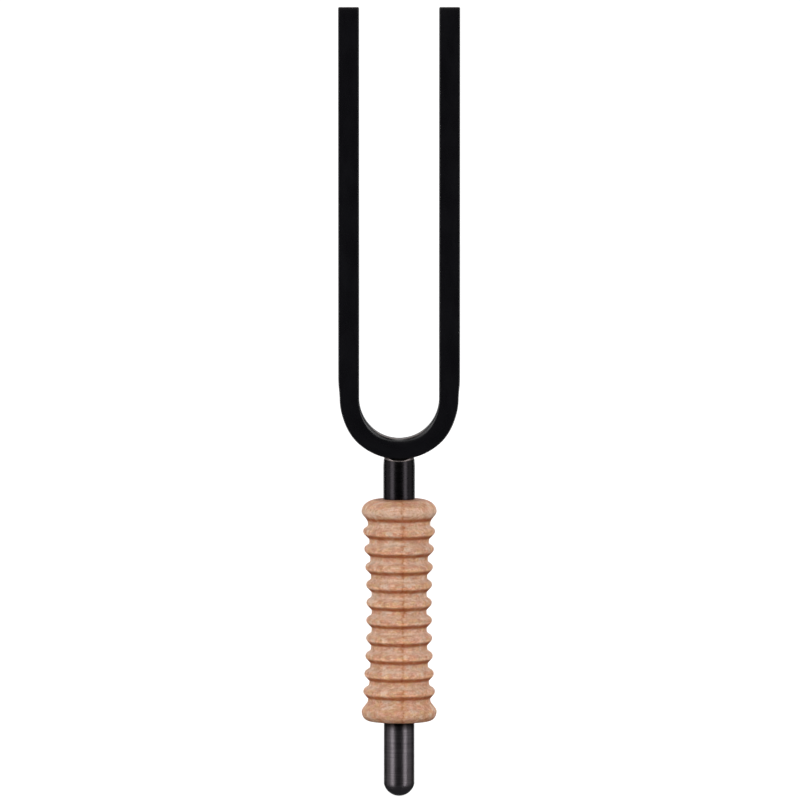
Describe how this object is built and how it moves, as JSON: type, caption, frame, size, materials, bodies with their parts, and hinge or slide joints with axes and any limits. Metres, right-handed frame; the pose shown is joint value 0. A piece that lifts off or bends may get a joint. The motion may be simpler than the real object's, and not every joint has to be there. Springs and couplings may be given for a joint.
{
  "type": "tuning fork",
  "caption": "Tuning fork: U-bent square steel bar brazed to a round tapered stem, with a ring-turned beech grip and a ball-nosed tail.",
  "frame": {"origin": "lowest point of the stem's ball nose, on the stem's axis", "axes": "+Z along the stem towards the prong tips; the two prongs stand side by side along X, so the fork's flat front faces -Y"},
  "size_m": [0.0234, 0.0144, 0.1522],
  "materials": {
    "blackened_steel": "black oxide, satin",
    "turned_steel": "fine turned, satin, with a thin grey oxide",
    "braze": "filed braze, dull",
    "beech": "turned beech, waxed, satin"
  },
  "bodies": {
    "root": {"prong_bar": "blackened_steel", "stem_rod": "turned_steel", "braze_seam": "braze", "grip": "beech"}
  },
  "joints": []
}
